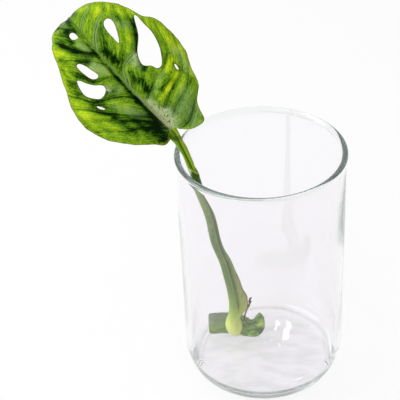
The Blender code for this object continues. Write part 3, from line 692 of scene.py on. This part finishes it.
def midrib_bend(s):
    """Where the midrib is at length s: the running sums of the cosine and the sine of a slope
    that falls as a power of s."""
    share = np.linspace(0, 1, BEND_STEPS + 1)
    slope = np.radians(BEND_START + (BEND_END - BEND_START) * share ** BEND_POWER)
    middle = (slope[1:] + slope[:-1]) / 2
    stride = BLADE_LENGTH / BEND_STEPS
    ahead = running_sum(np.cos(middle)) * stride
    raised = running_sum(np.sin(middle)) * stride
    u = np.clip(s / BLADE_LENGTH, 0, 1)
    before = np.minimum(s, 0)
    return (np.interp(u, share, ahead) + before * np.cos(slope[0]),
            np.interp(u, share, raised) + before * np.sin(slope[0]),
            np.interp(u, share, slope))


def segment_distance(points, start, end):
    """Distances of many points from many straight segments, and the cross product of run and
    offset, whose sign is the side."""
    run = end - start
    offset = points[:, None, :] - start[None]
    share = np.clip((offset * run).sum(-1) / (run ** 2).sum(-1), 0, 1)
    gap = np.linalg.norm(offset - share[..., None] * run, axis=-1)
    return gap, run[:, 0] * offset[..., 1] - run[:, 1] * offset[..., 0]


def vein_lanes(points, veins):
    """The lane of each point among the side veins, that lane's width, the distance from the
    nearest vein and which one it is.

    With D(k) the signed distance from vein k, positive on the tip's side, the lane is the sum
    of D(k) / (D(k) - D(k + 1)), each held between 0 and 1, so it is whole on a vein.
    """
    row = np.arange(len(points))
    signed = []
    for vein in veins:
        path = curve_through(vein, 30)
        gap, turn = segment_distance(points, path[:-1], path[1:])
        nearest = gap.argmin(axis=1)
        signed.append(gap[row, nearest] * np.where(turn[row, nearest] < 0, 1, -1))
    signed = np.array(signed)
    spread = np.maximum(signed[:-1] - signed[1:], 1e-6)
    lane = (np.clip(signed[:-1] / spread, 0, 1).sum(axis=0)
            + np.minimum(signed[0], 0) / END_LANE + np.maximum(signed[-1], 0) / END_LANE)
    end_width = np.full(len(points), END_LANE)
    width = np.vstack([end_width, spread, end_width])[
        np.clip(np.floor(lane).astype(int) + 1, 0, len(veins)), row]
    return lane, width, np.abs(signed).min(axis=0), np.abs(signed).argmin(axis=0)


def lanes_by_half(s, t, left):
    """What vein_lanes gives for each point among the veins of its own half."""
    folded = np.column_stack([s, np.abs(t)])
    halves = [vein_lanes(folded, veins) for veins in (RIGHT_VEINS, LEFT_VEINS)]
    return [np.where(left, of_left, of_right) for of_right, of_left in zip(*halves)]


def stroke_sum(points, strokes):
    """Sum of each stroke's amount times a bell of the distance from its line."""
    table = np.array(strokes)
    gap, _ = segment_distance(points, table[:, 0:2], table[:, 2:4])
    return (table[:, 5] * np.exp(-(gap / table[:, 4]) ** 2)).sum(axis=1)


def blade_height(s, t, vein_gap):
    """Height over the midrib: each half rises by 1 - e to the minus distance and falls by its
    square, and the cushions rise by 1 - a bell of the distance from a vein."""
    away = np.sqrt(t * t + 1) - 1
    left = step(-t, -0.5, 0.5)
    near_stalk = hump(s, 3, 20)
    flat_tip = 1 - 0.85 * step(s, 50, 70)
    rise = (left * (RISE_LEFT + 3.2 * near_stalk) + (1 - left) * RISE_RIGHT) * flat_tip
    fall = left * 1.75 + (1 - left) * 1.45
    gull = rise * (1 - np.exp(-away / 5.5) - fall * (away / 26) ** 2)
    swell = 0.7 * (1 - hump(vein_gap, 0, 1.9)) - 0.35
    return gull + swell * step(away, 0.6, 3)


def blade_surface(s, t, vein_gap):
    """The midrib's bend, plus the height along the bend's own normal."""
    ahead, raised, slope = midrib_bend(s)
    height = blade_height(s, t, vein_gap)
    bow = MIDRIB_BOW * np.sin(np.pi * np.clip(s / 60, 0, 1))
    return np.stack([ahead - height * np.sin(slope), t - bow, raised + height * np.cos(slope)],
                    axis=-1)


def blade_frame():
    """Directions of the midrib, the right half and the blade's face."""
    azimuth, elevation, lean = np.radians([BLADE_AZIMUTH, BLADE_ELEVATION, MIDRIB_LEAN])
    face = np.array([np.sin(azimuth) * np.cos(elevation), -np.cos(azimuth) * np.cos(elevation),
                     np.sin(elevation)])
    level = unit(np.cross([0, 0, 1], face))
    midrib = np.cos(lean) * np.cross(face, level) - np.sin(lean) * level
    return np.stack([midrib, np.cross(midrib, face), face])


def even_steps(outline, spacing):
    """A closed outline's points spaced evenly along it."""
    closed = np.vstack([outline, outline[:1]])
    length = running_sum(np.linalg.norm(np.diff(closed, axis=0), axis=1))
    place = np.linspace(0, length[-1], round(length[-1] / spacing), endpoint=False)
    return np.column_stack([np.interp(place, length, closed[:, k]) for k in range(2)])


def inside(points, outline):
    """Even-odd test of many points against one closed outline."""
    x, y = points[:, :1], points[:, 1:]
    x1, y1 = outline.T
    x2, y2 = np.roll(x1, -1), np.roll(y1, -1)
    rise = np.where(y2 == y1, 1, y2 - y1)
    crosses = ((y1 > y) != (y2 > y)) & (x < (x2 - x1) * (y - y1) / rise + x1)
    return crosses.sum(axis=1) % 2 == 1


def on_blade(points, edges):
    """Which points lie inside the margin, the first edge, and outside every hole."""
    in_margin, *in_holes = (inside(points, edge) for edge in edges)
    return in_margin & ~np.any(in_holes, axis=0)


def blade_layout():
    """The blade laid flat: points in even rows, joined by a Delaunay triangulation that keeps
    the edges, and each one's distance from the nearest edge and from the leaf's margin. The
    margin is waved by two small sines of the length along it."""
    margin = even_steps(curve_through(BLADE_MARGIN, 1200, closed=True), POINT_SPACING)
    place = np.arange(len(margin)) * POINT_SPACING
    run = unit(np.roll(margin, -1, axis=0) - np.roll(margin, 1, axis=0))
    nibble = 0.1 * np.sin(place / 1.7) + 0.05 * np.sin(place / 0.8 + 1)
    edges = [margin + nibble[:, None] * np.column_stack([run[:, 1], -run[:, 0]])]
    edges += [even_steps(curve_through(hole, 300, closed=True), 0.8 * POINT_SPACING)
              for hole in BLADE_HOLES]
    row_step = POINT_SPACING * np.sqrt(3) / 2
    t, s = np.meshgrid(np.arange(-25, 29, 2 * row_step),
                       np.arange(-8, 79, POINT_SPACING), indexing="ij")
    rows = np.stack([s, t], axis=-1).reshape(-1, 2)
    spots = np.vstack([rows, rows + np.array([POINT_SPACING / 2, row_step])])
    spots = spots[on_blade(spots, edges)]
    start = np.vstack(edges)
    end = np.vstack([np.roll(edge, -1, axis=0) for edge in edges])
    gap = segment_distance(spots, start, end)[0].min(axis=1)
    clear_of_edge = gap > EDGE_CLEARANCE
    flat = np.vstack([start, spots[clear_of_edge]])
    from_edge = np.concatenate([np.zeros(len(start)), gap[clear_of_edge]])
    from_margin = segment_distance(flat, edges[0], np.roll(edges[0], -1, axis=0))[0].min(axis=1)
    loops = np.split(np.arange(len(start)), np.cumsum([len(edge) for edge in edges])[:-1])
    limits = np.vstack([np.column_stack([loop, np.roll(loop, -1)]) for loop in loops])
    triangles = np.array(delaunay_2d_cdt(
        [Vector(spot) for spot in flat.tolist()], limits.tolist(), [], 0, 1e-7)[2])
    solid = on_blade(flat[triangles].mean(axis=1), edges)
    return flat, triangles[solid], from_edge, from_margin


def blade_skins(flat, from_edge, left):
    """The upper and the under skin: the middle surface moved half a thickness each way along
    its normal, less near an edge, with the midrib's line above and its ridge below."""
    s, t = flat.T
    small = 0.05

    def surface(ds, dt):
        return blade_surface(s + ds, t + dt, lanes_by_half(s + ds, t + dt, left)[2])

    middle = surface(0, 0)
    normal = unit(np.cross(surface(small, 0) - surface(-small, 0),
                           surface(0, small) - surface(0, -small)))
    half = (BLADE_THICKNESS / 2) * (0.3 + 0.7 * step(from_edge, 0, 1.6))
    foot = step(s, 8, 0)
    rib = ((0.25 + 0.8 * foot) * hump(t, 0.2, 0.6 + 0.9 * foot)
           - 0.35 * hump(t, -1.1, 0.5) * step(s, 62, 40) * (1 - foot))
    ridge = MIDRIB_RIDGE * (1 - 0.8 * step(s, 0, 60)) * hump(t, 0, 1.2)
    return np.vstack([middle + normal * (half + rib)[:, None],
                      middle - normal * (half + ridge)[:, None]])


def closed_faces(flat, triangles):
    """Triangles of the upper skin, the same turned over for the under skin, and a quad along
    each link that only one triangle has."""
    corner = flat[triangles]
    one, other = corner[:, 1] - corner[:, 0], corner[:, 2] - corner[:, 0]
    spin = one[:, :1] * other[:, 1:] - one[:, 1:] * other[:, :1]
    triangles = np.where(spin > 0, triangles[:, ::-1], triangles)
    count = len(flat)
    links = np.vstack([triangles[:, [0, 1]], triangles[:, [1, 2]], triangles[:, [2, 0]]])
    lone = ~np.isin(links[:, 0] * count + links[:, 1], links[:, 1] * count + links[:, 0])
    first, second = links[lone].T
    band = np.column_stack([second, first, first + count, second + count])
    return triangles.tolist() + (triangles[:, ::-1] + count).tolist() + band.tolist()


before_end, stalk_end = curve_through(STALK_ROUTE, STALK_ROWS)[-2:]
blade_foot = stalk_end + BLADE_OFFSET * unit(stalk_end - before_end)
flat, triangles, edge_gap, margin_gap = blade_layout()
s, t = flat.T
left = t < 0
places = blade_foot + blade_skins(flat, edge_gap, left) @ blade_frame()
blade = new_piece("blade", places, closed_faces(flat, triangles))
lane, lane_width, _, nearest_vein = lanes_by_half(s, t, left)
for name, values in (
        ("s", s), ("t", t), ("edge", edge_gap), ("margin", margin_gap),
        ("lane", lane + LEFT_LANES * left), ("lane_width", lane_width),
        ("vein_paleness", np.array(VEIN_PALENESS)[left.astype(int), nearest_vein]),
        ("tone", stroke_sum(flat, BLADE_LIGHT_AND_SHADE)), ("warmth", stroke_sum(flat, BLADE_WARMTH_AND_SHEEN)),
        ("pale", stroke_sum(flat, BLADE_PALE_GLOSS))):
    keep(blade, name, np.tile(values, 2))
keep(blade, "under", np.repeat([0, 1], len(flat)))

leaf = Finish("leaf skin", blade, {"Specular IOR Level": 0.02})
along, across_leaf, in_lane, from_edge, from_margin, paleness, warmth = (
    leaf.stored(name) for name in ("s", "t", "lane", "edge", "margin", "vein_paleness", "warmth"))
away = abs(across_leaf)
from_vein = in_lane.join("PINGPONG", in_lane, 0.5) * leaf.stored("lane_width")


def flow(stretch, layer):
    """Coordinates that run along the lanes between the side veins."""
    return leaf.node("ShaderNodeCombineXYZ", {}, {
        "X": in_lane * 7, "Y": away * stretch, "Z": layer})


streaks = leaf.cloud(flow(0.13, 0), 1.3, 3)
fine_streaks = leaf.cloud(flow(0.2, 3), 3.2, 2)
blotches = leaf.grain(260, 3)
mottle = leaf.grain(1100, 2)
net = leaf.node("ShaderNodeTexVoronoi", {"feature": "DISTANCE_TO_EDGE"},
                {"Vector": leaf.place(), "Scale": 820}).step(0, 0.16)
# Thin lines of painted shade, as in fine creases
crease_shade = abs(streaks - 0.5).fall(0, 0.035)
inner = from_edge.step(0.2, 1.6)
# Painted shade in the grooves of the dark veins
vein_groove_shade = (paleness * -1).between(0, 1) * from_vein.fall(0.1, 0.75) * inner
pale_vein = (paleness.between(0, 1) * from_vein.step(0.1, 0.4)
             * from_vein.fall(0.65, 1) * inner * away.fall(8, 15))
# A painted shadow line left of the midrib, from the stalk to past the middle
shade_beside_rib = abs(across_leaf + 1.35).fall(0.1, 0.9) * along.fall(35, 60)
# The cool strokes are painted sheen: greyish, and calmer in their streaks
cool_sheen = (warmth * -1).between(0, 1)
lively = ((streaks - 0.5) * 0.7 + (fine_streaks - 0.5) * 0.9 + (blotches - 0.5) * 0.4
          + (mottle - 0.5) * 0.4) * (1 - cool_sheen * 0.65) - crease_shade * 0.12
# Tone: the strokes' painted light and shade, a painted lighter middle to each cushion, painted shade in
# the vein grooves and beside the midrib, and the leaf's own streaks and net
tone = (leaf.stored("tone") * 0.34 + lively * 0.86 + from_vein.step(0.2, 2.4) * 0.14
        + net * 0.06 - vein_groove_shade * 0.22 - shade_beside_rib * 0.14 + 0.365)
fresh = leaf.ramp(
    tone, (0, (0.002, 0.012, 0.0005)), (0.15, (0.016, 0.06, 0.001)), (0.32, (0.07, 0.17, 0.006)),
    (0.5, (0.15, 0.3, 0.012)), (0.68, (0.25, 0.43, 0.012)), (0.84, (0.38, 0.56, 0.012)),
    (1, (0.52, 0.68, 0.03)))
greyish_sheen = leaf.ramp(
    tone, (0, (0.008, 0.028, 0.006)), (0.32, (0.08, 0.17, 0.035)), (0.5, (0.16, 0.29, 0.075)),
    (0.7, (0.26, 0.41, 0.12)), (1, (0.38, 0.52, 0.19)))
yellowish = leaf.ramp(
    tone, (0, (0.02, 0.04, 0.001)), (0.32, (0.11, 0.2, 0.002)), (0.55, (0.26, 0.38, 0.003)),
    (0.75, (0.42, 0.56, 0.005)), (1, (0.62, 0.7, 0.03)))
rib_green = leaf.ramp(
    along * (1 / BLADE_LENGTH),
    (0, (0.22, 0.36, 0.02)), (0.02, (0.24, 0.38, 0.03)), (0.045, (0.44, 0.46, 0.26)),
    (0.08, (0.4, 0.43, 0.23)), (0.2, (0.24, 0.33, 0.12)), (0.4, (0.16, 0.26, 0.06)),
    (0.65, (0.11, 0.21, 0.03)), (0.9, (0.06, 0.14, 0.015)))
# The midrib's line is 0.85 wide each way at the stalk and narrows to the tip
rib_line = (abs(across_leaf - 0.15) - (0.85 - along * 0.0085)).fall(-0.15, 0.2)
# Painted pale gloss in patches, partly the skin's own pale grey-green by the midrib's foot
pale_gloss = leaf.stored("pale").between(0, 1) * (fine_streaks + mottle).step(0.7, 1.05)
off_foot = (along + away).step(3, 5)
# Over the fresh green: painted greyish sheen, yellowish greens, pale veins, painted pale gloss,
# the midrib, painted light as lime along the margin, brown on every edge, and the paler under side
leaf.paint(
    fresh,
    (greyish_sheen, cool_sheen),
    (yellowish, warmth.between(0, 1) * blotches.step(0.35, 0.6)),
    ((0.24, 0.37, 0.1), pale_vein * 0.8),
    ((0.49, 0.58, 0.3), pale_gloss * 0.9),
    (rib_green, rib_line),
    # Painted light: lime along the margin
    ((0.38, 0.54, 0.012), from_margin.fall(0.3, 1.6) * mottle.step(0.3, 0.7) * 0.6),
    ((0.07, 0.08, 0.012), from_edge.fall(0.04, 0.4) * off_foot * 0.85),
    ((0.15, 0.25, 0.07), leaf.stored("under") * 0.7))
leaf.feed("Roughness", mottle * 0.25 + 0.32)
leaf.emboss(streaks * 0.5 + fine_streaks * 0.5 + net * 0.25 + blotches * 0.8 - vein_groove_shade * 0.4
            + pale_vein * 0.4, 0.0006, 0.8)
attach(blade, "root")
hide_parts("leaf_blade")


# The dry sheath is what is left of an old bract: a curled strip, brown, brittle and thin as
# paper, which stands beside the stalk's wing.
SHEATH_ROUTE = (
    (-8.9, 8.5, 16.5), (-8.3, 8.1, 19.8), (-7.4, 7.7, 23.2), (-6.5, 7.4, 25.7),
    (-6.1, 7.2, 27.6), (-6.2, 6.9, 29.2), (-5.3, 6.7, 30.8),
)


def sheath_surface(rows, columns):
    """A flat ellipse carried along the strip's route, its thickness and depth changing with
    the height and crumpled by small sines."""
    angle = once_round(columns)
    u = np.linspace(0, 1, rows)[:, None]
    depth = (1.2 - 0.9 * u) * (1 + 0.2 * np.sin(17 * u))
    thickness = (0.25 + 0.42 * hump(u, 0.72, 0.22)) * (1 + 0.3 * np.sin(29 * u)) - 0.12 * u
    curl = 0.2 * np.sin(9 * u + 2 * np.sin(angle))
    return carried(curve_through(SHEATH_ROUTE, rows),
                   thickness * np.cos(angle) + curl * np.sin(angle) ** 2, depth * np.sin(angle))


sheath = lattice("old_sheath", sheath_surface(90, 32), {})
sheath_skin = Finish("dry sheath", sheath, {"Roughness": 0.85})
threads = sheath_skin.grain(1600, 3, z=0.15)
sheath_skin.paint(sheath_skin.ramp(
    threads, (0.35, (0.02, 0.006, 0.002)), (0.55, (0.09, 0.03, 0.012)), (0.72, (0.3, 0.16, 0.07))))
sheath_skin.emboss(threads, 0.0003, 0.8)
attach(sheath, "root")
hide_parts("dry_sheath")


# The bud is a small green point in the angle between stalk and stem, wrapped in one scale.
BUD_ROUTE = ((-7.3, 9.6, 14.3), (-7.3, 9.5, 15.2), (-7.2, 9.3, 16.1), (-7, 9.1, 16.9))
BUD_RADIUS = 0.9


def bud_surface(rows, columns):
    """A round section on the bud's route, its radius the root of 1 - u squared, with the
    scale's lip as a low bell across it."""
    angle = once_round(columns)
    u = np.linspace(0, 1, rows)[:, None]
    lip = 0.1 * hump(u, 0.45 + 0.12 * np.cos(angle), 0.06)
    radius = BUD_RADIUS * np.sqrt(np.clip(1 - u ** 2, 0.01, 1)) + lip * (1 - u)
    return carried(curve_through(BUD_ROUTE, rows), radius * np.cos(angle), radius * np.sin(angle))


bud = lattice("bud", bud_surface(40, 40), {})
bud_skin = Finish("bud skin", bud, {"Roughness": 0.5})
bud_lines = bud_skin.grain(2200, 2, z=0.2)
bud_skin.paint(bud_skin.ramp(bud_lines, (0.35, (0.12, 0.17, 0.05)), (0.7, (0.3, 0.34, 0.14))))
bud_skin.emboss(bud_lines, 0.0001, 0.5)
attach(bud, "root")
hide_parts("axillary_bud")


# The floor is a wide pale light table, a hair under the glass. One large soft lamp stands
# high at the left and a pale room lights the rest. Four small far windows behind the glass
# give the bright glints that its heel and floor throw forward.
FLOOR_HALF = 3000.0
FLOOR_DROP = -0.05
SOFT_WHITE = (1, 1, 1, 1)
AIM = Vector((0, 0, 0.08))
floor = new_piece("floor", np.array([
    (x * FLOOR_HALF, y * FLOOR_HALF, FLOOR_DROP) for x, y in ((-1, -1), (1, -1), (1, 1), (-1, 1))
]), [(0, 1, 2, 3)])
Finish("pale table", floor, {
    "Base Color": (0.25, 0.25, 0.25, 1), "Roughness": 0.9, "Specular IOR Level": 0,
    "Emission Color": SOFT_WHITE, "Emission Strength": 0.72})

scene = bpy.context.scene
scene.world = bpy.data.worlds.new("room")
scene.world.use_nodes = True
walls = scene.world.node_tree.nodes["Background"]
walls.inputs["Color"].default_value = SOFT_WHITE
walls.inputs["Strength"].default_value = 0.7

for name, place, width, height, power in (
        ("soft lamp", (-0.95, -0.3, 0.95), 1.3, 1.3, 14),
        ("far window", (0.0652, 1.0868, 0.9071), 0.0125, 0.0135, 0.01),
        ("far half window", (0.0588, 1.075, 0.9143), 0.0125, 0.0125, 0.0092),
        ("far pane", (0.0366, 1.0917, 0.9041), 0.0095, 0.01, 0.0056),
        ("far sill", (0.0345, 1.0835, 0.9088), 0.006, 0.003, 0.0006)):
    light = bpy.data.lights.new(name, "AREA")
    light.shape = "RECTANGLE"
    light.size = width
    light.size_y = height
    light.energy = power
    lamp = bpy.data.objects.new(name, light)
    lamp.location = place
    lamp.rotation_euler = (AIM - Vector(place)).to_track_quat("-Z", "Y").to_euler()
    scene.collection.objects.link(lamp)

# The camera looks down at the glass, turned a little to the left and rolled a little
CAMERA_PLACE = (0, -0.499075, 0.438502)
camera_data = bpy.data.cameras.new("camera")
camera_data.sensor_width = 36
camera_data.lens = 126
camera = bpy.data.objects.new("camera", camera_data)
camera.matrix_world = Matrix.Translation(CAMERA_PLACE)
for degrees, axis in ((3.069, "Z"), (90 - 34.908, "X"), (-2.533, "Z")):
    camera.matrix_world @= Matrix.Rotation(np.radians(degrees), 4, axis)
scene.collection.objects.link(camera)
scene.camera = camera
scene.view_settings.view_transform = "Standard"
# Light passes the thick foot only after many turns between its walls
for kind in ("max_bounces", "transmission_bounces", "glossy_bounces"):
    setattr(scene.cycles, kind, 64)
